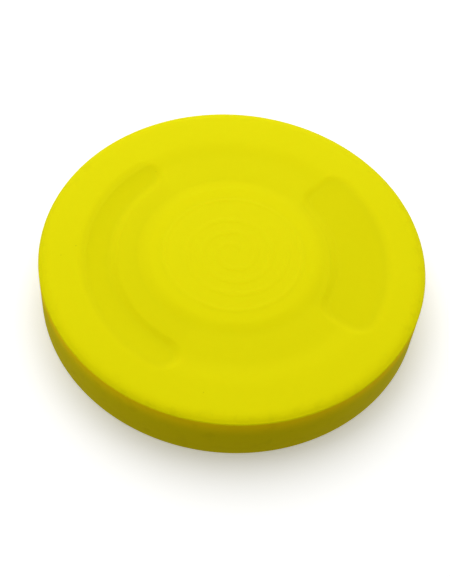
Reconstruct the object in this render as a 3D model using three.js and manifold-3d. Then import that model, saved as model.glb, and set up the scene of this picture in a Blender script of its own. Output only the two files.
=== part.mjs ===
// Pocket flying disc: a palm-size soft silicone disc, pinched between thumb and finger and snapped away so
// that it spins. Units are millimetres and +Z is up. The origin is the centre of the face that the disc
// rests on, and +X runs through the middle of the thumb grip. The finger grip lies across the disc from it.
//
// The face is a shallow landscape: a crown round the outside, a dish inside it, and a low boss in the middle
// that carries a badge. Below the face the disc is a hollow rim ring, closed by the web of the flight plate.

import * as THREE from "three";
import { mergeVertices } from "three/addons/utils/BufferGeometryUtils.js";
import Module from "manifold-3d";

// ---- Driving dimensions -----------------------------------------------------------------------------------

const discRadius = 32.5; // at the edge line, where the face meets the side wall
const discHeight = 9.8; // from the resting face to the top of the crown

const edgeDrop = 0.4; // the edge line lies this far below the crown
const shoulderWidth = 2.4; // the rounded shoulder between the crown and the edge line
const crownWidth = 4.4; // the level band at the top of the crown
const crownRun = 4.4; // the slope from the crown down into the dish
const dishDepth = 0.3; // the dish lies this far below the crown

const rimWidth = 8; // the ring's width, from the side wall to the hollow
const webThickness = 3.6; // from the dish to the underside
const footRound = 0.3; // both lower corners of the ring

const thumbOutset = 4.1; // the thumb grip's floor reaches this far beyond the inner end of the crown's slope
const fingerOutset = 3.4; // and the finger grip's floor this far
const gripShift = 0.5; // both grips lie this far towards -Y of the centre
const gripDepth = 0.3; // the grips' floors lie this far below the dish
const gripWallRun = 1.6; // the width of the sloping wall, from the floor to the height of the crown
const gripCorner = 1.8; // the round of each floor's corners
const gripPadThickness = 1.2;
const thumbWidth = 7.6;
const thumbHalfAngle = THREE.MathUtils.degToRad(40);
const fingerWidth = 3.8;
const fingerHalfAngle = THREE.MathUtils.degToRad(58.5);
const fingerTurn = THREE.MathUtils.degToRad(181); // from the middle of the thumb grip, anticlockwise

const bossMargin = 0.2; // the strip of level dish between the boss and the thumb grip's wall
const bossRun = 2.2; // the width of the boss's slope
const bossRise = 0.2; // the boss stands this far above the dish
const bossHollow = 0.3; // the shallow recess under the boss

const badgeMargin = 2; // the strip of boss round the badge
const badgeThickness = 1.2;
const badgeBandWidth = 1;
const badgeRelief = 0.1; // the raised band and the swirl stand this far above the badge's own ground
const swirlWidth = 1.3;
const swirlSpace = 1.3; // between the swirl's turns, at its centre, and between its end and the band

const padGap = 0.3; // between a grip pad's side and its pocket
const turnSegments = 72; // facets round the disc
const cornerSteps = 3;

// ---- Heights and radii that follow from them --------------------------------------------------------------

const edgeHeight = discHeight - edgeDrop;
const dishHeight = discHeight - dishDepth;
const bossHeight = dishHeight + bossRise;
const undersideHeight = dishHeight - webThickness;
const gripFloorHeight = dishHeight - gripDepth;
const badgeSeatHeight = bossHeight - badgeThickness;

const hollowRadius = discRadius - rimWidth;
const crownOuterRadius = discRadius - shoulderWidth;
const crownInnerRadius = crownOuterRadius - crownWidth;
const dishRadius = crownInnerRadius - crownRun;
const thumbOuterRadius = dishRadius + thumbOutset;
const fingerOuterRadius = dishRadius + fingerOutset;
const gripFloorInnerRadius = Math.min(thumbOuterRadius - thumbWidth, fingerOuterRadius - fingerWidth);
const gripWallRunInDish = (gripWallRun * gripDepth) / (gripDepth + dishDepth);
const gripNearness = gripShift * Math.sin(Math.max(thumbHalfAngle, fingerHalfAngle));
const gripWallInnerRadius = gripFloorInnerRadius - gripWallRunInDish - gripNearness;
const bossFootRadius = gripWallInnerRadius - bossMargin;
const bossTopRadius = bossFootRadius - bossRun;
const badgeRadius = bossTopRadius - badgeMargin;

const thumb = { outerRadius: thumbOuterRadius, width: thumbWidth, halfAngle: thumbHalfAngle };
const finger = { outerRadius: fingerOuterRadius, width: fingerWidth, halfAngle: fingerHalfAngle };

// ---- Colours ----------------------------------------------------------------------------------------------

const silicone = (name, colour, roughness) =>
  new THREE.MeshStandardMaterial({ name, color: colour, roughness, metalness: 0 });

const faceSilicone = silicone("face_silicone", 0xe2dc08, 0.6);
const rimSilicone = silicone("rim_silicone", 0xd8cf08, 0.6);
const gripSilicone = silicone("grip_silicone", 0xddd507, 0.65);
const badgeSilicone = silicone("badge_silicone", 0xe5dd08, 0.58);

// ---- Solids -----------------------------------------------------------------------------------------------

const wasm = await Module();
wasm.setup();

/** A closed geometry as a solid that can be joined and cut. */
function solidOf(geometry) {
  const bare = geometry.clone();
  bare.deleteAttribute("normal");
  bare.deleteAttribute("uv");
  const merged = mergeVertices(bare, 1e-4);
  return new wasm.Manifold(
    new wasm.Mesh({
      numProp: 3,
      vertProperties: merged.attributes.position.array,
      triVerts: new Uint32Array(merged.index.array),
    }),
  );
}

/** A solid back as a geometry. */
function geometryOf(solid) {
  const mesh = solid.getMesh();
  const geometry = new THREE.BufferGeometry();
  geometry.setAttribute("position", new THREE.BufferAttribute(mesh.vertProperties, 3));
  geometry.setIndex(new THREE.BufferAttribute(mesh.triVerts, 1));
  geometry.computeVertexNormals();
  return geometry;
}

/** A profile of [radius, height] points, listed anticlockwise, turned about Z. */
function turned(profile) {
  const points = profile.map(([radius, height]) => new THREE.Vector2(radius, height));
  return new THREE.LatheGeometry(points, turnSegments).rotateX(Math.PI / 2);
}

/** A quarter round in a profile, as points from startAngle on, anticlockwise about its centre. */
function quarterRound(centreRadius, centreHeight, round, startAngle) {
  return Array.from({ length: cornerSteps + 1 }, (_, i) => {
    const angle = startAngle + (i / cornerSteps) * (Math.PI / 2);
    return [centreRadius + round * Math.cos(angle), centreHeight + round * Math.sin(angle)];
  });
}

/** A slope that eases in and out, as points from [r0, z0] to [r1, z1]. */
function easedSlope(r0, z0, r1, z1, steps) {
  return Array.from({ length: steps + 1 }, (_, i) => {
    const t = i / steps;
    return [r0 + (r1 - r0) * t, z0 + (z1 - z0) * t * t * (3 - 2 * t)];
  });
}

/** The shoulder: from the edge line, where it curves and falls most, up to the level crown. */
function shoulder(steps) {
  return Array.from({ length: steps + 1 }, (_, i) => {
    const t = 1 - i / steps;
    return [crownOuterRadius + shoulderWidth * t, discHeight - edgeDrop * t ** 3];
  });
}

/** The outline of a grip's floor: a band round the disc, centred on +X, with rounded corners. */
function gripOutline({ outerRadius, width, halfAngle }, inset) {
  const inner = outerRadius - width + inset;
  const outer = outerRadius - inset;
  const round = Math.min(gripCorner, (outer - inner) / 2.2);
  const end = halfAngle - inset / ((inner + outer) / 2);
  const outerTurn = end - Math.asin(round / (outer - round));
  const innerTurn = end - Math.asin(round / (inner + round));
  const corner = (radius, turn, from, to) =>
    shape.absarc(radius * Math.cos(turn), radius * Math.sin(turn), round, from, to, false);
  const quarter = Math.PI / 2;
  const shape = new THREE.Shape();
  shape.absarc(0, 0, outer, -outerTurn, outerTurn, false);
  corner(outer - round, outerTurn, outerTurn, end + quarter);
  corner(inner + round, innerTurn, end + quarter, innerTurn + 2 * quarter);
  shape.absarc(0, 0, inner, innerTurn, -innerTurn, true);
  corner(inner + round, -innerTurn, 2 * quarter - innerTurn, 3 * quarter - end);
  corner(outer - round, -outerTurn, 3 * quarter - end, 4 * quarter - outerTurn);
  return shape;
}

/** What a grip removes from the flight plate: its sloping recess, and the pocket for its pad. */
function gripCut(grip) {
  const outline = gripOutline(grip, 0);
  const wallRise = discHeight - gripFloorHeight;
  const recess = new THREE.ExtrudeGeometry(outline, {
    depth: wallRise,
    bevelThickness: wallRise,
    bevelSize: gripWallRun,
    bevelSegments: 1,
    curveSegments: 10,
  }).translate(0, 0, gripFloorHeight + wallRise);
  const pocket = new THREE.ExtrudeGeometry(outline, {
    depth: gripPadThickness + wallRise,
    bevelEnabled: false,
    curveSegments: 10,
  }).translate(0, 0, gripFloorHeight - gripPadThickness);
  return solidOf(recess).add(solidOf(pocket));
}

/** A grip's pad, which fills its pocket up to the grip's floor. */
function gripPad(grip) {
  return new THREE.ExtrudeGeometry(gripOutline(grip, padGap), {
    depth: gripPadThickness,
    bevelEnabled: false,
    curveSegments: 10,
  }).translate(0, 0, gripFloorHeight - gripPadThickness);
}

// ---- The disc's pieces ------------------------------------------------------------------------------------

/** The heavy outer ring: side wall, resting face and the hollow's wall, with a conical seat for the plate. */
function rimRing() {
  return turned([
    ...quarterRound(hollowRadius + footRound, footRound, footRound, Math.PI),
    ...quarterRound(discRadius - footRound, footRound, footRound, -Math.PI / 2),
    [discRadius, edgeHeight],
    [hollowRadius, undersideHeight],
    [hollowRadius, footRound],
  ]);
}

/** The web and the face outside the boss, on the ring's conical seat, with both grips cut into it. */
function flightPlate() {
  const plate = turned([
    [bossFootRadius, undersideHeight],
    [hollowRadius, undersideHeight],
    ...shoulder(4),
    ...easedSlope(crownInnerRadius, discHeight, dishRadius, dishHeight, 4),
    [bossFootRadius, dishHeight],
    [bossFootRadius, undersideHeight],
  ]);
  const fingerTurnDegrees = THREE.MathUtils.radToDeg(fingerTurn);
  const fingerCut = gripCut(finger).rotate([0, 0, fingerTurnDegrees]);
  const gripCuts = gripCut(thumb).add(fingerCut).translate([0, -gripShift, 0]);
  return geometryOf(solidOf(plate).subtract(gripCuts));
}

/** The low boss in the middle, with a seat for the badge above and a shallow hollow below. */
function centreBoss() {
  const hollowSide = bossTopRadius - bossHollow;
  return turned([
    [0, undersideHeight + bossHollow],
    [hollowSide, undersideHeight + bossHollow],
    [bossTopRadius, undersideHeight],
    [bossFootRadius, undersideHeight],
    ...easedSlope(bossFootRadius, dishHeight, bossTopRadius, bossHeight, 4),
    [badgeRadius, bossHeight],
    [badgeRadius, badgeSeatHeight],
    [0, badgeSeatHeight],
  ]);
}

/** The outline of the swirl: a spiral band of even width and spacing with square ends. */
function swirlOutline() {
  const pitch = swirlWidth + swirlSpace;
  const start = pitch / 2;
  const end = badgeRadius - badgeBandWidth - swirlSpace - swirlWidth / 2;
  const turns = (end - start) / pitch;
  const steps = Math.ceil(turns * 24);
  const side = (offset) =>
    Array.from({ length: steps + 1 }, (_, i) => {
      const t = i / steps;
      const angle = 2 * Math.PI * turns * t;
      const radius = start + (end - start) * t + offset;
      return new THREE.Vector2(radius * Math.cos(angle), radius * Math.sin(angle));
    });
  return new THREE.Shape([...side(swirlWidth / 2), ...side(-swirlWidth / 2).reverse()]);
}

/** The badge: a round inlay with a raised band at its edge and a plain raised swirl inside. */
function badge() {
  const ground = bossHeight;
  const disc = turned([
    [0, badgeSeatHeight],
    [badgeRadius, badgeSeatHeight],
    [badgeRadius, ground + badgeRelief],
    [badgeRadius - badgeBandWidth, ground + badgeRelief],
    [badgeRadius - badgeBandWidth, ground],
    [0, ground],
  ]);
  const swirl = new THREE.ExtrudeGeometry(swirlOutline(), {
    depth: badgeThickness / 2 + badgeRelief,
    bevelEnabled: false,
  }).translate(0, 0, ground - badgeThickness / 2);
  return geometryOf(solidOf(disc).add(solidOf(swirl)));
}

// ---- The scene graph --------------------------------------------------------------------------------------

const disc = new THREE.Group();

/** Adds one named piece to the disc. */
function addPiece(name, geometry, material) {
  const mesh = new THREE.Mesh(geometry, material);
  mesh.name = name;
  disc.add(mesh);
  return mesh;
}

addPiece("rim_ring", rimRing(), rimSilicone);
addPiece("flight_plate", flightPlate(), faceSilicone);
addPiece("centre_boss", centreBoss(), faceSilicone);
addPiece("badge", badge(), badgeSilicone);
const thumbGrip = addPiece("thumb_grip", gripPad(thumb), gripSilicone);
thumbGrip.position.y = -gripShift;
const fingerGrip = addPiece("finger_grip", gripPad(finger), gripSilicone);
fingerGrip.rotation.z = fingerTurn;
fingerGrip.position.y = -gripShift;

export default disc;
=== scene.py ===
"""The finished look of a palm-size silicone flying disc, built round its fixed frame.

Everything is in metres, with +Z up out of the face and +X through the middle of the thumb grip.
The disc is one soft moulding, so its pieces share one landscape, FaceRelief, and meet without a step.
"""

import logging
import math
from dataclasses import dataclass
from enum import Enum
from typing import Callable, Iterable

import bmesh
import bpy
from mathutils import Matrix, Vector, noise


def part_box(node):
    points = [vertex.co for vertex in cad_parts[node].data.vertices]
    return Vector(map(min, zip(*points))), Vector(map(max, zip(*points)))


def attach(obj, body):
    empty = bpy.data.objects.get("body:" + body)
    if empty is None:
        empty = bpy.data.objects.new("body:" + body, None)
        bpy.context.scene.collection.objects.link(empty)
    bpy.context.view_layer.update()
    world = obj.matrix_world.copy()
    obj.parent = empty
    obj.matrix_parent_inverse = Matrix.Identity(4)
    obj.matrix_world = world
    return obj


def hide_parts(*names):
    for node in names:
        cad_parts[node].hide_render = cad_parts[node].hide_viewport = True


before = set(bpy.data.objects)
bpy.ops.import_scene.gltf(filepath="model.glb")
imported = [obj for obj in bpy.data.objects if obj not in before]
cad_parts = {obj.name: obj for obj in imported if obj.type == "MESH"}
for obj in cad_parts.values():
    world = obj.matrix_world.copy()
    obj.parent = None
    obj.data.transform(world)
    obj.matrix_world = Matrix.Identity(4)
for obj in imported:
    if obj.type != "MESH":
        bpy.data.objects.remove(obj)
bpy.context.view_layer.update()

MM = 0.001
CLOSE = 0.01 * MM
FULL_TURN = 2 * math.pi
WHITE = (1.0, 1.0, 1.0)
BODY = "root"
SHADE = "shade"
LOG = logging.getLogger("disc")

Rgb = tuple[float, float, float]
Point2 = tuple[float, float]


# ---- Numbers -------------------------------------------------------------------------------------


def smooth_step(low: float, high: float, value: float) -> float:
    """Eases from 0 at low to 1 at high.

    Args:
        low: The value where the step begins.
        high: The value where the step ends.
        value: The value to look up.

    Returns:
        A number from 0 to 1.
    """
    t = min(max((value - low) / (high - low), 0.0), 1.0)
    return t * t * (3 - 2 * t)


def mixed(a: float, b: float, share: float) -> float:
    """Returns the number that lies share of the way from a to b."""
    return a + (b - a) * share


def turned_by(angle: float, middle: float) -> float:
    """Returns how far angle lies from middle, from 0 to half a turn, either way round."""
    return abs((angle - middle + math.pi) % FULL_TURN - math.pi)


# ---- Sizes ---------------------------------------------------------------------------------------


@dataclass(frozen=True)
class DiscSizes:
    """Radii and heights that the frame's solids fix."""

    radius: float
    crown: float
    edge: float
    hollow_radius: float
    underside: float
    boss_radius: float
    boss_top: float
    badge_radius: float
    badge_seat: float
    thumb_outer: float
    finger_outer: float
    grips_centre: float
    grip_floor: float
    grip_seat: float

    @classmethod
    def from_frame(cls, rim_width: float = 8 * MM, pad_gap: float = 0.3 * MM) -> "DiscSizes":
        """Reads the sizes from the frame's boxes.

        Args:
            rim_width: The width of the rim ring, which no box shows.
            pad_gap: The play round each grip pad's solid.

        Returns:
            The sizes in metres.
        """
        _, rim_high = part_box("rim_ring")
        plate_low, plate_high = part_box("flight_plate")
        _, boss_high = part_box("centre_boss")
        badge_low, badge_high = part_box("badge")
        thumb_low, thumb_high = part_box("thumb_grip")
        finger_low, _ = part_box("finger_grip")
        return cls(
            radius=rim_high.x,
            crown=plate_high.z,
            edge=rim_high.z,
            hollow_radius=rim_high.x - rim_width,
            underside=plate_low.z,
            boss_radius=boss_high.x,
            boss_top=boss_high.z,
            badge_radius=badge_high.x,
            badge_seat=badge_low.z,
            thumb_outer=thumb_high.x + pad_gap,
            finger_outer=pad_gap - finger_low.x,
            grips_centre=(thumb_low.y + thumb_high.y) / 2,
            grip_floor=thumb_high.z,
            grip_seat=thumb_low.z,
        )


@dataclass(frozen=True)
class Grip:
    """One recess for a thumb or finger: a band with rounded corners, a little off the disc's centre."""

    node: str
    middle: float
    half_angle: float
    width: float
    outer: float
    centre: float
    corner: float = 2.2 * MM

    def own_polar(self, radius: float, angle: float) -> Point2:
        """Returns a point's distance and direction from the grip's own centre.

        Args:
            radius: The point's distance from the disc's axis.
            angle: The point's direction from there, anticlockwise from +X.

        Returns:
            The distance in metres and the direction in radians.
        """
        along, across = radius * math.cos(angle), radius * math.sin(angle) - self.centre
        return math.hypot(along, across), math.atan2(across, along)

    def distance(self, radius: float, angle: float) -> float:
        """Measures how far a point lies from the outline of the recess's floor.

        Args:
            radius: The point's distance from the grip's own centre.
            angle: The point's direction from there.

        Returns:
            The distance, positive outside the floor and negative on it.
        """
        past_end = (turned_by(angle, self.middle) - self.half_angle) * radius + self.corner
        past_side = abs(radius - self.outer + self.width / 2) - self.width / 2 + self.corner
        outside = math.hypot(max(past_end, 0.0), max(past_side, 0.0))
        return min(max(past_end, past_side), 0.0) + outside - self.corner

    def across(self, radius: float) -> float:
        """Returns how far across the floor a radius lies, from 0 at its inner side to 1 at its outer."""
        return min(max((radius - self.outer + self.width) / self.width, 0.0), 1.0)


@dataclass(frozen=True)
class FaceRelief:
    """The shallow landscape of the disc's face, as a height above the resting face."""

    sizes: DiscSizes
    grips: tuple[Grip, ...]
    shoulder_width: float = 2.4 * MM
    shoulder_drop: float = 0.6 * MM
    crown_width: float = 4.4 * MM
    crown_run: float = 4.4 * MM
    dish_depth: float = 0.3 * MM
    boss_run: float = 2.6 * MM
    grip_wall_run: float = 1.6 * MM
    grip_floor_rise: float = 0.45 * MM
    edge_round: float = 0.12 * MM
    edge_slope: float = math.radians(30)
    seam_inset: float = 0.024 * MM
    seam_waver: float = 0.04 * MM
    seam_paces: Point2 = (7.0, 37.0)
    flash_height: float = 0.03 * MM
    flash_inset: float = 0.2 * MM
    flash_width: float = 0.16 * MM
    flash_paces: Point2 = (3.1, 17.0)
    boss_fade: float = 3.2 * MM
    # Painted shade on the strip of dish beside each recess, as a share of the recess floor's.
    strip_shade: float = 0.75
    strip_ends: Point2 = (-0.1, 0.2)

    @property
    def dish(self) -> float:
        """The height of the dish's floor."""
        return self.sizes.crown - self.dish_depth

    @property
    def crown_inner(self) -> float:
        """The radius where the crown's level band meets its slope."""
        return self.sizes.radius - self.shoulder_width - self.crown_width

    @property
    def round_centre(self) -> float:
        """The height of the centre of the round that ends the shoulder on the edge line."""
        start = self.sizes.radius - self.edge_round / 2
        return self._shoulder_height(start) - self.edge_round * math.cos(self.edge_slope)

    def seam_radius(self, angle: float) -> float:
        """Returns the radius of the parting line on the round, where it wavers a little.

        Args:
            angle: The direction, anticlockwise from +X.

        Returns:
            The radius in metres.
        """
        where = Vector((math.cos(angle), math.sin(angle), 0.0))
        slow, fast = self.seam_paces
        share = 0.5 + 0.6 * noise.noise(where * slow) + 0.4 * noise.noise(where * fast)
        return self.sizes.radius - self.seam_inset - self.seam_waver * min(max(share, 0.0), 1.0)

    def _open_face(self, radius: float) -> float:
        """Returns the height of boss, dish and crown, inside the shoulder."""
        off_boss = smooth_step(self.sizes.boss_radius - self.boss_run, self.sizes.boss_radius, radius)
        up_crown = smooth_step(self.crown_inner - self.crown_run, self.crown_inner, radius)
        return mixed(self.sizes.boss_top, self.dish, off_boss) + self.dish_depth * up_crown

    def _shoulder_height(self, radius: float) -> float:
        """Returns the height of crown and shoulder, which falls with the cube of the distance."""
        past_crown = max(radius - self.sizes.radius + self.shoulder_width, 0.0) / self.shoulder_width
        return self.sizes.crown - self.shoulder_drop * past_crown**3

    def _flash(self, radius: float, angle: float) -> float:
        """Returns the height of the faint ridge inside the parting line, which comes and goes."""
        off_line = abs(radius - self.sizes.radius + self.flash_inset)
        where = Vector((math.cos(angle), math.sin(angle), 0.5))
        slow, fast = self.flash_paces
        strength = smooth_step(-0.35, 0.45, noise.noise(where * slow) + 0.5 * noise.noise(where * fast))
        return self.flash_height * strength * (1 - smooth_step(0.0, self.flash_width, off_line))

    def shade(self, radius: float, angle: float) -> float:
        """Works out how much painted shade darkens the silicone in and beside the recesses.

        Args:
            radius: The point's distance from the disc's axis.
            angle: The point's direction, anticlockwise from +X.

        Returns:
            1 on a recess's floor, a share of 1 on the strip of dish beside it, and 0 elsewhere.
        """
        most = 0.0
        off_boss = smooth_step(self.sizes.boss_radius - self.boss_fade, self.sizes.boss_radius, radius)
        for grip in self.grips:
            own_radius, own_angle = grip.own_polar(radius, angle)
            floor = 1 - smooth_step(0.0, self.grip_wall_run, grip.distance(own_radius, own_angle))
            past_end = turned_by(own_angle, grip.middle) - grip.half_angle
            beside = 1 - smooth_step(grip.outer - grip.width, grip.outer, own_radius)
            strip = off_boss * beside * (1 - smooth_step(*self.strip_ends, past_end))
            most = max(most, floor, self.strip_shade * strip)
        return most

    def height(self, radius: float, angle: float) -> float:
        """Works out the height of the face, with both recesses in it.

        Args:
            radius: The point's distance from the disc's axis.
            angle: The point's direction, anticlockwise from +X.

        Returns:
            The height in metres.
        """
        past_centre = radius - self.sizes.radius + self.edge_round
        if past_centre > self.edge_round / 2:
            return self.round_centre + math.sqrt(max(self.edge_round**2 - past_centre**2, 0.0))
        level = self._open_face(radius) + self._shoulder_height(radius) - self.sizes.crown
        for grip in self.grips:
            own_radius, own_angle = grip.own_polar(radius, angle)
            up_wall = smooth_step(0.0, self.grip_wall_run, grip.distance(own_radius, own_angle))
            floor = self.sizes.grip_floor + self.grip_floor_rise * grip.across(own_radius) ** 2
            level = mixed(min(floor, level), level, up_wall)
        return level + self._flash(radius, angle)


# ---- Mesh tools ----------------------------------------------------------------------------------


def outline(bm: bmesh.types.BMesh, points: Iterable[Point2], closed: bool) -> list[bmesh.types.BMVert]:
    """Draws a profile in the XZ plane.

    Args:
        bm: The mesh to draw in.
        points: The profile's radii and heights, in order.
        closed: Whether the last point joins the first.

    Returns:
        The profile's vertices.
    """
    verts = [bm.verts.new((radius, 0.0, height)) for radius, height in points]
    for a, b in zip(verts, verts[1:]):
        bm.edges.new((a, b))
    if closed:
        bm.edges.new((verts[-1], verts[0]))
    return verts


def divided(bm: bmesh.types.BMesh, inner: float, outer: float, height: float, step: float) -> None:
    """Divides one level edge of a profile into equal parts no longer than step.

    Args:
        bm: The mesh that holds the profile.
        inner: The edge's radius at its inner end.
        outer: The edge's radius at its outer end.
        height: The edge's height.
        step: The longest part.
    """
    ends = (Vector((inner, 0.0, height)), Vector((outer, 0.0, height)))

    def is_meant(edge: bmesh.types.BMEdge) -> bool:
        """Tells whether an edge joins the two ends."""
        low, high = sorted((vert.co for vert in edge.verts), key=lambda co: co.x)
        return (low - ends[0]).length + (high - ends[1]).length < CLOSE

    cuts = math.ceil((outer - inner) / step) - 1
    bmesh.ops.subdivide_edges(bm, edges=[edge for edge in bm.edges if is_meant(edge)], cuts=cuts)


def turned(bm: bmesh.types.BMesh, segments: int) -> None:
    """Spins everything in a mesh once round Z, and closes its seam and poles."""
    bmesh.ops.spin(
        bm,
        geom=bm.verts[:] + bm.edges[:],
        cent=(0, 0, 0),
        axis=(0, 0, 1),
        angle=FULL_TURN,
        steps=segments,
        use_merge=True,
    )
    bmesh.ops.remove_doubles(bm, verts=bm.verts[:], dist=0.001 * MM)
    bmesh.ops.recalc_face_normals(bm, faces=bm.faces[:])


def polar(vert: bmesh.types.BMVert | bpy.types.MeshVertex) -> Point2:
    """Returns a vertex's distance from the axis and its direction."""
    return math.hypot(vert.co.x, vert.co.y), math.atan2(vert.co.y, vert.co.x)


def move_radially(vert: bmesh.types.BMVert, radius: float) -> None:
    """Moves a vertex straight in or out, to a radius."""
    now, _ = polar(vert)
    vert.co.x *= radius / now
    vert.co.y *= radius / now


def shaded(bm: bmesh.types.BMesh, sharp_angle: float = math.radians(38)) -> None:
    """Shades a mesh smooth, except across edges that turn by more than an angle."""
    for face in bm.faces:
        face.smooth = True
    for edge in bm.edges:
        edge.smooth = edge.calc_face_angle(0.0) < sharp_angle


# ---- Shader tools --------------------------------------------------------------------------------


class Value:
    """A shader's number, on which Python's own operators work."""

    def __init__(self, graph: "Graph", socket: bpy.types.NodeSocket) -> None:
        """Wraps a socket of a graph."""
        self.graph = graph
        self.socket = socket

    def _math(self, operation: str, *operands: "Value | float", clamp: bool = False) -> "Value":
        """Adds a Math node.

        Args:
            operation: The node's operation.
            operands: What goes into its sockets, in order.
            clamp: Whether the result is kept from 0 to 1.

        Returns:
            The node's result.
        """
        settings = {"operation": operation, "use_clamp": clamp}
        return self.graph.value("ShaderNodeMath", settings, dict(enumerate(operands)))

    def __add__(self, other: "Value | float") -> "Value":
        """Returns self + other."""
        return self._math("ADD", self, other)

    __radd__ = __add__

    def __mul__(self, other: "Value | float") -> "Value":
        """Returns self * other."""
        return self._math("MULTIPLY", self, other)

    __rmul__ = __mul__

    def __sub__(self, other: "Value | float") -> "Value":
        """Returns self - other."""
        return self._math("SUBTRACT", self, other)

    def __rsub__(self, other: float) -> "Value":
        """Returns other - self."""
        return self._math("SUBTRACT", other, self)

    def __pow__(self, exponent: float) -> "Value":
        """Returns self to a power."""
        return self._math("POWER", self, exponent)

    def larger(self, other: "Value | float") -> "Value":
        """Returns the larger of two numbers."""
        return self._math("MAXIMUM", self, other)

    def step(self, low: float, high: float) -> "Value":
        """Eases from 0 where the number is low to 1 where it is high."""
        settings = {"interpolation_type": "SMOOTHSTEP"}
        return self.graph.value("ShaderNodeMapRange", settings, {"Value": self, 1: low, 2: high})


Input = Value | bpy.types.NodeSocket | float | tuple


class Graph:
    """A material's or world's node tree."""

    def __init__(self, tree: bpy.types.NodeTree) -> None:
        """Empties a node tree and takes it over."""
        self.tree = tree
        tree.nodes.clear()

    def node(self, kind: str, settings: dict | None = None, inputs: dict | None = None) -> bpy.types.Node:
        """Adds a node.

        Args:
            kind: The node's type.
            settings: Its own settings, which are set before its sockets.
            inputs: What goes into its sockets, by name or number.

        Returns:
            The node.
        """
        made = self.tree.nodes.new(kind)
        for name, setting in (settings or {}).items():
            setattr(made, name, setting)
        for key, given in (inputs or {}).items():
            given = given.socket if isinstance(given, Value) else given
            if isinstance(given, bpy.types.NodeSocket):
                self.tree.links.new(given, made.inputs[key])
            else:
                made.inputs[key].default_value = given
        return made

    def value(self, kind: str, settings: dict | None = None, inputs: dict | None = None) -> Value:
        """Adds a node and returns its first number."""
        return Value(self, self.node(kind, settings, inputs).outputs[0])

    def mixed_colour(self, share: Input, a: Input, b: Input) -> bpy.types.NodeSocket:
        """Returns a colour that lies share of the way from a to b."""
        inputs = {0: share, 6: a, 7: b}
        return self.node("ShaderNodeMix", {"data_type": "RGBA"}, inputs).outputs[2]

    def noise(self, where: Input, scale: float, detail: float = 2.0) -> Value:
        """Returns noise from 0 to 1, with about scale features to the metre."""
        inputs = {"Vector": where, "Scale": scale, "Detail": detail}
        return self.value("ShaderNodeTexNoise", None, inputs)


def colour(rgb: Rgb, share: float = 1.0) -> tuple[float, float, float, float]:
    """Returns a colour with its alpha, scaled by share."""
    return (rgb[0] * share, rgb[1] * share, rgb[2] * share, 1.0)


# ---- Finishes ------------------------------------------------------------------------------------


class Zone(Enum):
    """Which part of the moulding a finish covers."""

    FACE = "face_silicone"
    GRIP = "grip_silicone"
    BADGE = "badge_silicone"
    RIM = "rim_silicone"


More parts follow.
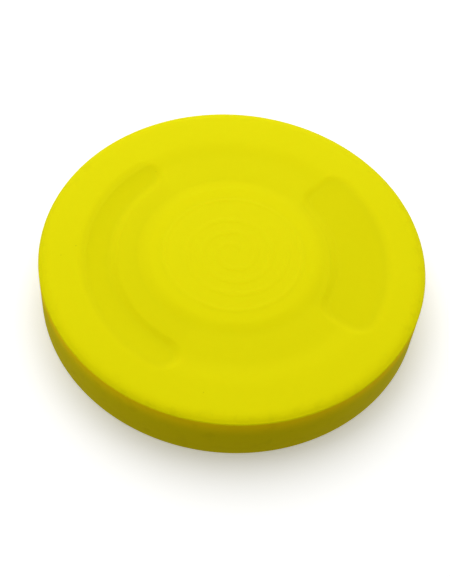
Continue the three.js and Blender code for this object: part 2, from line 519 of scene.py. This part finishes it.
@dataclass(frozen=True)
class Silicone:
    """Satin silicone, with the fine grain of a blasted mould, faint mottling and a few specks, and with
    painted light and shade on the face and a painted glow under the edge line.
    """

    zone: Zone
    body: Rgb
    # The colour of the painted glow of light shining through, just under the edge line.
    painted_glow: Rgb
    roughness: float
    grain: float
    relief: FaceRelief
    cloud_scale: float = 70.0
    cloud_tone: float = 0.02
    cloud_roughness: float = 0.1
    grain_scale: float = 2600.0
    grain_share: float = 0.7
    grain_depth: float = 0.03 * MM
    pore_scale: float = 900.0
    pore_tone: float = 0.02
    pore_roughness: float = 0.06
    speck_scale: float = 420.0
    speck_tone: float = 0.2
    smudge_scale: float = 520.0
    smudge_tone: float = 0.05
    smudge_band: Point2 = (2.6 * MM, 0.9 * MM)
    # Painted light on the raised boss, and painted shade in the dish and in the recesses.
    boss_painted_light: float = 0.01
    boss_blur: float = 0.4 * MM
    dish_painted_shade: float = 0.025
    recess_painted_shade: float = 0.06
    painted_glow_depth: float = 4.5 * MM
    painted_glow_falloff: float = 1.5
    ior: float = 1.41
    specular: float = 0.1
    specular_tint: Rgb = (1.0, 0.9, 0.04)
    subsurface: float = 0.12
    subsurface_radius: Rgb = (1.0, 0.7, 0.1)
    subsurface_scale: float = 0.5 * MM

    def _painted_light_and_shade(self, graph: Graph, spot: bpy.types.NodeSocket) -> Value:
        """Returns how light the silicone looks, as painted light and shade: lightest on the raised boss,
        darker in the dish, darkest in the recesses.
        """
        relief, boss_radius = self.relief, self.relief.sizes.boss_radius
        radius = self._radius(graph, spot)
        off_boss = radius.step(boss_radius - relief.boss_fade, boss_radius + self.boss_blur)
        in_dish = off_boss * (1 - radius.step(relief.crown_inner - relief.crown_run, relief.crown_inner))
        # The painted shade of the recesses and the strips beside them, marked on the vertices.
        recess = graph.node("ShaderNodeAttribute", {"attribute_name": SHADE}).outputs["Fac"]
        painted_dark = (self.dish_painted_shade * in_dish).larger(self.recess_painted_shade * Value(graph, recess))
        return 1 + self.boss_painted_light * (1 - off_boss) - painted_dark

    @staticmethod
    def _radius(graph: Graph, spot: bpy.types.NodeSocket) -> Value:
        """Returns the distance from the disc's axis."""
        flat = graph.node("ShaderNodeVectorMath", {"operation": "MULTIPLY"}, {0: spot, 1: (1, 1, 0)})
        length = graph.node("ShaderNodeVectorMath", {"operation": "LENGTH"}, {0: flat.outputs[0]})
        return Value(graph, length.outputs["Value"])

    def _painted_glow_mask(self, graph: Graph, spot: bpy.types.NodeSocket) -> Value:
        """Returns 1 just under the edge line, where a painted glow stands in for light shining through, and
        0 further down.
        """
        axes = graph.node("ShaderNodeSeparateXYZ", None, {0: spot})
        edge = self.relief.sizes.edge
        return Value(graph, axes.outputs["Z"]).step(edge - self.painted_glow_depth, edge) ** self.painted_glow_falloff

    def _specks(self, graph: Graph, spot: bpy.types.NodeSocket) -> Value:
        """Returns 1 on a few specks of dust a fifth of a millimetre across."""
        inputs = {"Vector": spot, "Scale": self.speck_scale}
        cells = graph.node("ShaderNodeTexVoronoi", {"feature": "F1"}, inputs)
        near = 1 - Value(graph, cells.outputs["Distance"]).step(0.03, 0.055)
        pick = graph.node("ShaderNodeSeparateColor", None, {0: cells.outputs["Color"]})
        return near * Value(graph, pick.outputs[0]).step(0.93, 0.95)

    def _smudges(self, graph: Graph, spot: bpy.types.NodeSocket) -> Value:
        """Returns soft handling marks, which gather near the edge line."""
        start, end = (self.relief.sizes.radius - inset for inset in self.smudge_band)
        near_edge = self._radius(graph, spot).step(start, end)
        return near_edge * graph.noise(spot, self.smudge_scale, 3.0).step(0.52, 0.72)

    def material(self) -> bpy.types.Material:
        """Builds the finish.

        Returns:
            The material, whose patterns all follow Object coordinates.
        """
        made = bpy.data.materials.new(self.zone.value)
        made.use_nodes = True
        graph = Graph(made.node_tree)
        spot = graph.node("ShaderNodeTexCoord").outputs["Object"]
        cloud = graph.noise(spot, self.cloud_scale, 3.0)
        grain = graph.noise(spot, self.grain_scale, 3.0)
        pores = graph.noise(spot, self.pore_scale)
        on_rim = self.zone is Zone.RIM
        # Painted glow: the rim turns lighter and redder just under the edge line, as if light shone
        # through.
        painted_glow = self._painted_glow_mask(graph, spot) if on_rim else 0.0
        # Painted light and shade by the face's relief; the rim has none.
        painted_tone = 1.0 if on_rim else self._painted_light_and_shade(graph, spot)
        body = graph.mixed_colour(painted_glow, colour(self.body), colour(self.painted_glow))
        smudges = self._smudges(graph, spot) * self.smudge_tone
        marks = smudges.larger(self._specks(graph, spot) * self.speck_tone)
        mottle = (1 - self.cloud_tone * (cloud - 0.5)) * (1 - self.pore_tone * (pores - 0.5))
        # Smudges, specks and mottling are the silicone's own; the face tone is painted light and shade.
        shade = (1 - marks) * mottle * painted_tone
        base = graph.node("ShaderNodeVectorMath", {"operation": "SCALE"}, {0: body, "Scale": shade})
        rough = self.roughness + self.cloud_roughness * (cloud - 0.5) + self.pore_roughness * (pores - 0.5)
        surface = grain * self.grain_share + pores * (1 - self.grain_share)
        bump_inputs = {"Strength": self.grain, "Distance": self.grain_depth, "Height": surface}
        bump = graph.node("ShaderNodeBump", None, bump_inputs)
        inputs = {
            "Base Color": base.outputs[0],
            "Roughness": rough,
            "IOR": self.ior,
            "Specular IOR Level": self.specular,
            "Specular Tint": colour(self.specular_tint),
            "Subsurface Weight": self.subsurface,
            "Subsurface Radius": self.subsurface_radius,
            "Subsurface Scale": self.subsurface_scale,
            "Normal": bump.outputs[0],
        }
        shader = graph.node("ShaderNodeBsdfPrincipled", None, inputs)
        graph.node("ShaderNodeOutputMaterial", None, {"Surface": shader.outputs[0]})
        return made


@dataclass(frozen=True)
class Finishes:
    """The moulding's finishes, which differ a little from zone to zone; the rim's colour is the face's
    silicone painted darker and more orange, as painted shade on the side wall.
    """

    relief: FaceRelief
    face: Rgb = (0.76, 0.705, 0.0012)
    # The wall colour is painted shade: the same silicone as the face, darker and more orange, as it looks
    # in the side wall's shade.
    wall: Rgb = (0.72, 0.60, 0.0015)
    # Painted glow of light shining through the silicone just under the edge line.
    lip_painted_glow: Rgb = (1.0, 0.72, 0.0015)

    def made(self) -> dict[Zone, bpy.types.Material]:
        """Builds every zone's material.

        Returns:
            The materials by zone.
        """
        face, relief = self.face, self.relief
        recipes = (
            Silicone(Zone.FACE, face, face, roughness=0.56, grain=0.16, relief=relief),
            Silicone(Zone.GRIP, face, face, roughness=0.62, grain=0.24, relief=relief),
            Silicone(Zone.BADGE, face, face, roughness=0.5, grain=0.12, relief=relief),
            Silicone(
                Zone.RIM, self.wall, self.lip_painted_glow, roughness=0.55, grain=0.16, relief=relief, specular=0.02
            ),
        )
        return {recipe.zone: recipe.material() for recipe in recipes}


# ---- The disc's pieces ---------------------------------------------------------------------------


@dataclass
class Piece:
    """What every piece of the disc shares: its name, its frame node and its finish."""

    node: str
    zone: Zone
    relief: FaceRelief
    materials: dict[Zone, bpy.types.Material]
    segments: int = 480

    @property
    def sizes(self) -> DiscSizes:
        """The disc's sizes."""
        return self.relief.sizes

    def placed(self, bm: bmesh.types.BMesh) -> bpy.types.Object:
        """Turns a finished mesh into the piece that stands for its frame node.

        Args:
            bm: The mesh, which is freed.

        Returns:
            The piece.
        """
        shaded(bm)
        mesh = bpy.data.meshes.new(self.node + "_piece")
        bm.to_mesh(mesh)
        bm.free()
        mesh.materials.append(self.materials[self.zone])
        self._mark_shade(mesh)
        piece = bpy.data.objects.new(self.node + "_piece", mesh)
        bpy.context.scene.collection.objects.link(piece)
        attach(piece, BODY)
        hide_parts(self.node)
        LOG.info("%s: %d faces", piece.name, len(mesh.polygons))
        return piece

    def _mark_shade(self, mesh: bpy.types.Mesh) -> None:
        """Marks on every vertex how much painted shade darkens the silicone there."""
        marks = mesh.attributes.new(SHADE, "FLOAT", "POINT")
        for mark, vert in zip(marks.data, mesh.vertices):
            mark.value = self.relief.shade(*polar(vert))

    def raise_face(self, bm: bmesh.types.BMesh, height: Callable[[float, float], float]) -> None:
        """Lifts the flat top of a turned blank into the landscape.

        Args:
            bm: The blank, whose top lies at the edge line's height.
            height: The height at a radius and a direction.
        """
        for vert in bm.verts:
            if vert.co.z > self.sizes.edge - CLOSE:
                vert.co.z = height(*polar(vert))


@dataclass
class RimRing(Piece):
    """The heavy outer ring: side wall, resting face and the wall of the hollow."""

    foot_round: float = 0.3 * MM
    hollow_fillet: float = 1.2 * MM
    round_segments: int = 5

    def build(self) -> bpy.types.Object:
        """Spins the ring's section and lays its upper edge along the parting line.

        Returns:
            The ring.
        """
        sizes = self.sizes
        inner = sizes.hollow_radius
        bm = bmesh.new()
        section = outline(
            bm,
            [
                (inner, 0.0),
                (sizes.radius, 0.0),
                (sizes.radius, self.relief.round_centre),
                (sizes.radius, sizes.edge),
                (inner, sizes.underside),
                (inner - self.hollow_fillet, sizes.underside),
                (inner, sizes.underside - self.hollow_fillet),
            ],
            closed=True,
        )
        bm.faces.new(section)
        self._rounded(bm, section[:2], self.foot_round)
        self._rounded(bm, section[6:], self.hollow_fillet / 2)
        bmesh.ops.delete(bm, geom=bm.faces[:], context="FACES_ONLY")
        turned(bm, self.segments)
        self._lay_seam(bm)
        return self.placed(bm)

    def _rounded(self, bm: bmesh.types.BMesh, corners: list[bmesh.types.BMVert], offset: float) -> None:
        """Rounds corners of the section."""
        bmesh.ops.bevel(
            bm,
            geom=corners,
            offset=offset,
            affect="VERTICES",
            segments=self.round_segments,
            profile=0.5,
            material=-1,
        )

    def _lay_seam(self, bm: bmesh.types.BMesh) -> None:
        """Moves the ring's upper edge in and down onto the parting line."""
        for vert in bm.verts:
            if vert.co.z > self.relief.round_centre + CLOSE:
                _, angle = polar(vert)
                seam = self.relief.seam_radius(angle)
                move_radially(vert, seam)
                vert.co.z = self.relief.height(seam, angle)


@dataclass
class FlightPlate(Piece):
    """The face outside the boss, on its web, with a pocket under each grip's floor."""

    ring_step: float = 0.25 * MM
    edge_step: float = 0.05 * MM
    edge_band: float = 0.9 * MM
    floor_margin: float = 0.25 * MM
    floor_slack: float = 0.05 * MM

    def build(self) -> list[bpy.types.Object]:
        """Builds the plate and the pads that fill its pockets.

        Returns:
            The plate and the pads.
        """
        sizes = self.sizes
        bm = bmesh.new()
        outline(
            bm,
            [
                (sizes.boss_radius, sizes.edge),
                (sizes.radius - self.edge_band, sizes.edge),
                (sizes.radius, sizes.edge),
                (sizes.hollow_radius, sizes.underside),
                (sizes.boss_radius, sizes.underside),
            ],
            closed=True,
        )
        band_start = sizes.radius - self.edge_band
        divided(bm, sizes.boss_radius, band_start, sizes.edge, self.ring_step)
        divided(bm, band_start, sizes.radius, sizes.edge, self.edge_step)
        turned(bm, self.segments)
        self._lay_seam(bm)
        self.raise_face(bm, self.relief.height)
        pads = [self._pad(bm, grip) for grip in self.relief.grips]
        return [self.placed(bm), *pads]

    def _lay_seam(self, bm: bmesh.types.BMesh) -> None:
        """Draws the outer rings in so that the last one lies on the parting line."""
        start = self.sizes.radius - self.edge_band
        for vert in bm.verts:
            radius, angle = polar(vert)
            if radius > start and vert.co.z > self.sizes.edge - CLOSE:
                share = (radius - start) / self.edge_band
                move_radially(vert, mixed(radius, self.relief.seam_radius(angle), share**3))

    def _floor(self, bm: bmesh.types.BMesh, grip: Grip) -> list[bmesh.types.BMFace]:
        """Returns the faces that make up a grip's floor."""

        def on_floor(vert: bmesh.types.BMVert) -> bool:
            """Tells whether a vertex lies on the floor, clear of its walls."""
            top = vert.co.z > self.sizes.grip_floor - self.floor_slack
            return top and grip.distance(*grip.own_polar(*polar(vert))) < -self.floor_margin

        return [face for face in bm.faces if all(on_floor(vert) for vert in face.verts)]

    def _sunk(self, bm: bmesh.types.BMesh, floor: list[bmesh.types.BMFace], keep: bool) -> None:
        """Extrudes a floor straight down to the pad's seat.

        Args:
            bm: The mesh that holds the floor.
            floor: The floor's faces.
            keep: Whether the floor stays on top too, which makes a pad and not a pocket.
        """
        result = bmesh.ops.extrude_face_region(bm, geom=floor, use_keep_orig=keep)
        for element in result["geom"]:
            if isinstance(element, bmesh.types.BMVert):
                element.co.z = self.sizes.grip_seat
        if not keep:
            left = [face for face in floor if face.is_valid]
            bmesh.ops.delete(bm, geom=left, context="FACES")

    def _pad(self, bm: bmesh.types.BMesh, grip: Grip) -> bpy.types.Object:
        """Takes a grip's floor out of the plate, as a pad of its own.

        Args:
            bm: The plate, which is left with a pocket.
            grip: The grip.

        Returns:
            The pad.
        """
        pad = bm.copy()
        floor = self._floor(pad, grip)
        rest = set(pad.faces) - set(floor)
        bmesh.ops.delete(pad, geom=list(rest), context="FACES")
        self._sunk(pad, pad.faces[:], keep=True)
        bmesh.ops.recalc_face_normals(pad, faces=pad.faces[:])
        self._sunk(bm, self._floor(bm, grip), keep=False)
        holder = Piece(grip.node, Zone.GRIP, self.relief, self.materials)
        return holder.placed(pad)


@dataclass
class CentreBoss(Piece):
    """The low boss in the middle, with the badge's seat above and a shallow hollow below."""

    ring_step: float = 0.2 * MM
    hollow_margin: float = 1.2 * MM
    hollow_depth: float = 0.3 * MM
    hollow_round: float = 0.5 * MM

    def build(self) -> bpy.types.Object:
        """Spins the boss's section and raises its slope.

        Returns:
            The boss.
        """
        sizes = self.sizes
        hollow_side = sizes.badge_radius + self.hollow_margin
        bm = bmesh.new()
        outline(
            bm,
            [
                (0.0, sizes.badge_seat),
                (sizes.badge_radius, sizes.badge_seat),
                (sizes.badge_radius, sizes.edge),
                (sizes.boss_radius, sizes.edge),
                (sizes.boss_radius, sizes.underside),
                (hollow_side + self.hollow_round, sizes.underside),
                (hollow_side, sizes.underside + self.hollow_depth),
                (0.0, sizes.underside + self.hollow_depth),
            ],
            closed=False,
        )
        divided(bm, sizes.badge_radius, sizes.boss_radius, sizes.edge, self.ring_step)
        turned(bm, self.segments)
        self.raise_face(bm, self.relief.height)
        return self.placed(bm)


@dataclass
class Badge(Piece):
    """The round badge: a raised band round a plain raised swirl."""

    ring_step: float = 0.12 * MM
    relief_height: float = 0.025 * MM
    soft_edge: float = 0.4 * MM
    band_width: float = 1.0 * MM
    band_inset: float = 0.1 * MM
    swirl_width: float = 1.3 * MM
    swirl_space: float = 1.3 * MM
    swirl_taper: float = 3.0

    def _plateau(self, past: float) -> float:
        """Returns 1 well inside a raised shape and 0 outside it.

        Args:
            past: The distance outside the shape's outline, negative inside.

        Returns:
            The share of the relief's height.
        """
        return 1 - smooth_step(-self.soft_edge, 0.0, past)

    def _swirl(self, radius: float, angle: float) -> float:
        """Returns the share of the relief's height that the swirl has at a point."""
        pitch = self.swirl_width + self.swirl_space
        start = pitch / 2
        end = self.sizes.badge_radius - self.band_width - self.swirl_space - self.swirl_width / 2
        turn = (radius - start) / pitch - angle / FULL_TURN
        off_line = abs(turn - round(turn)) * pitch
        along = start + (angle % FULL_TURN) / FULL_TURN * pitch
        along += round((radius - along) / pitch) * pitch
        past_end = max(start - along, along - end)
        return self._plateau(max(off_line - self.swirl_width / 2, past_end * self.swirl_taper))

    def _height(self, radius: float, angle: float) -> float:
        """Returns the height of the badge's top."""
        band_outer = self.sizes.badge_radius - self.band_inset
        band_inner = band_outer - self.band_width
        band = self._plateau(max(radius - band_outer, band_inner - radius))
        return self.sizes.boss_top + self.relief_height * max(band, self._swirl(radius, angle))

    def build(self) -> bpy.types.Object:
        """Spins the badge's blank and raises its relief.

        Returns:
            The badge.
        """
        sizes = self.sizes
        bm = bmesh.new()
        outline(
            bm,
            [
                (0.0, sizes.edge),
                (sizes.badge_radius, sizes.edge),
                (sizes.badge_radius, sizes.badge_seat),
                (0.0, sizes.badge_seat),
            ],
            closed=False,
        )
        divided(bm, 0.0, sizes.badge_radius, sizes.edge, self.ring_step)
        turned(bm, self.segments)
        self.raise_face(bm, self._height)
        return self.placed(bm)


# ---- The studio ----------------------------------------------------------------------------------


@dataclass(frozen=True)
class Studio:
    """A pale floor and backdrop under one broad soft light, above and behind, with an even fill."""

    floor_radius: float = 2.5
    backdrop_radius: float = 2.6
    floor_colour: Rgb = (0.98, 0.98, 0.975)
    floor_glow: float = 0.22
    floor_glow_reach: Point2 = (0.06, 0.5)
    backdrop_glow: float = 1.0
    light_place: tuple[float, float, float] = (-0.012, 0.155, 0.30)
    light_size: float = 0.4
    light_power: float = 1.18
    fill_strength: float = 0.22
    side_fill: float = 0.5

    def _staged(
        self, bm: bmesh.types.BMesh, name: str, surface: Callable[[Graph], bpy.types.Node]
    ) -> bpy.types.Object:
        """Adds a piece of the studio.

        Args:
            bm: Its mesh, which is freed.
            name: Its name.
            surface: Adds the piece's shader to its material's graph.

        Returns:
            The piece.
        """
        mesh = bpy.data.meshes.new(name)
        bm.to_mesh(mesh)
        bm.free()
        material = bpy.data.materials.new(name)
        material.use_nodes = True
        graph = Graph(material.node_tree)
        shader = surface(graph)
        graph.node("ShaderNodeOutputMaterial", None, {"Surface": shader.outputs[0]})
        mesh.materials.append(material)
        piece = bpy.data.objects.new(name, mesh)
        bpy.context.scene.collection.objects.link(piece)
        return piece

    def _floor_surface(self, graph: Graph) -> bpy.types.Node:
        """Adds the floor's shader, which glows more and more away from the disc, so it stays pale."""
        spot = graph.node("ShaderNodeTexCoord").outputs["Object"]
        away = graph.node("ShaderNodeVectorMath", {"operation": "LENGTH"}, {0: spot})
        far = Value(graph, away.outputs["Value"]).step(*self.floor_glow_reach)
        inputs = {
            "Base Color": colour(self.floor_colour),
            "Roughness": 1.0,
            "Specular IOR Level": 0.0,
            "Emission Color": colour(self.floor_colour),
            "Emission Strength": self.floor_glow + (1 - self.floor_glow) * far,
        }
        return graph.node("ShaderNodeBsdfPrincipled", None, inputs)

    def _backdrop_surface(self, graph: Graph) -> bpy.types.Node:
        """Adds the backdrop's shader."""
        inputs = {"Color": colour(WHITE, self.backdrop_glow)}
        return graph.node("ShaderNodeEmission", None, inputs)

    def floor(self) -> bpy.types.Object:
        """Lays the floor, which lights nothing by itself.

        Returns:
            The floor.
        """
        bm = bmesh.new()
        bmesh.ops.create_circle(bm, cap_ends=True, segments=96, radius=self.floor_radius)
        piece = self._staged(bm, "floor", self._floor_surface)
        piece.visible_diffuse = False
        piece.visible_glossy = False
        return piece

    def backdrop(self) -> bpy.types.Object:
        """Hangs a pale backdrop all round, which only the camera sees.

        Returns:
            The backdrop.
        """
        bm = bmesh.new()
        bmesh.ops.create_uvsphere(bm, u_segments=64, v_segments=32, radius=self.backdrop_radius)
        piece = self._staged(bm, "backdrop", self._backdrop_surface)
        piece.visible_diffuse = False
        piece.visible_glossy = False
        piece.visible_transmission = False
        piece.visible_shadow = False
        return piece

    def light(self) -> bpy.types.Object:
        """Hangs the soft light, aimed at the disc.

        Returns:
            The light.
        """
        data = bpy.data.lights.new("soft_light", "AREA")
        data.shape = "SQUARE"
        data.size = self.light_size
        data.energy = self.light_power
        light = bpy.data.objects.new("soft_light", data)
        bpy.context.scene.collection.objects.link(light)
        place = Vector(self.light_place)
        aim = (-place).to_track_quat("-Z", "Y").to_matrix().to_4x4()
        light.matrix_world = Matrix.Translation(place) @ aim
        return light

    def fill(self) -> bpy.types.World:
        """Fills the shadows from all round, and most from the left and right.

        Returns:
            The world.
        """
        world = bpy.data.worlds.new("fill")
        world.use_nodes = True
        graph = Graph(world.node_tree)
        heading = graph.node("ShaderNodeTexCoord").outputs["Generated"]
        axes = graph.node("ShaderNodeSeparateXYZ", None, {0: heading})
        sideways = Value(graph, axes.outputs["X"]) * Value(graph, axes.outputs["X"])
        strength = self.fill_strength + self.side_fill * sideways
        inputs = {"Color": colour(WHITE), "Strength": strength}
        background = graph.node("ShaderNodeBackground", None, inputs)
        graph.node("ShaderNodeOutputWorld", None, {"Surface": background.outputs[0]})
        bpy.context.scene.world = world
        return world


@dataclass(frozen=True)
class Viewpoint:
    """The camera: close, high and a little tilted."""

    distance: float = 0.200
    azimuth: float = math.radians(-10.1)
    elevation: float = math.radians(54.39)
    roll: float = math.radians(5.89)
    lens: float = 71.4
    shift: Point2 = (-0.0088, -0.0033)

    def camera(self) -> bpy.types.Object:
        """Places the camera, aimed at the centre of the disc's resting face.

        Returns:
            The camera.
        """
        flat = math.cos(self.elevation)
        back = Vector(
            (
                math.sin(self.azimuth) * flat,
                -math.cos(self.azimuth) * flat,
                math.sin(self.elevation),
            )
        )
        data = bpy.data.cameras.new("camera")
        data.lens = self.lens
        data.sensor_width = 36.0
        data.shift_x, data.shift_y = self.shift
        data.clip_start, data.clip_end = 0.005, 10.0
        camera = bpy.data.objects.new("camera", data)
        bpy.context.scene.collection.objects.link(camera)
        aim = (-back).to_track_quat("-Z", "Y").to_matrix().to_4x4()
        tilt = Matrix.Rotation(self.roll, 4, "Z")
        camera.matrix_world = Matrix.Translation(back * self.distance) @ aim @ tilt
        bpy.context.scene.camera = camera
        return camera


# ---- Making it all -------------------------------------------------------------------------------


def main() -> None:
    """Builds the disc, the studio and the camera."""
    logging.basicConfig(level=logging.INFO, format="%(name)s: %(message)s")
    bpy.context.scene.view_settings.view_transform = "Standard"
    Viewpoint().camera()
    sizes = DiscSizes.from_frame()
    thumb = Grip(
        "thumb_grip",
        middle=0.0,
        half_angle=math.radians(40),
        width=7.6 * MM,
        outer=sizes.thumb_outer,
        centre=sizes.grips_centre,
    )
    finger = Grip(
        "finger_grip",
        middle=math.radians(181),
        half_angle=math.radians(58.5),
        width=3.8 * MM,
        outer=sizes.finger_outer,
        centre=sizes.grips_centre,
    )
    relief = FaceRelief(sizes, (thumb, finger))
    materials = Finishes(relief).made()
    RimRing("rim_ring", Zone.RIM, relief, materials).build()
    FlightPlate("flight_plate", Zone.FACE, relief, materials).build()
    CentreBoss("centre_boss", Zone.FACE, relief, materials).build()
    Badge("badge", Zone.BADGE, relief, materials).build()
    studio = Studio()
    studio.floor()
    studio.backdrop()
    studio.light()
    studio.fill()


if __name__ == "__main__":
    main()
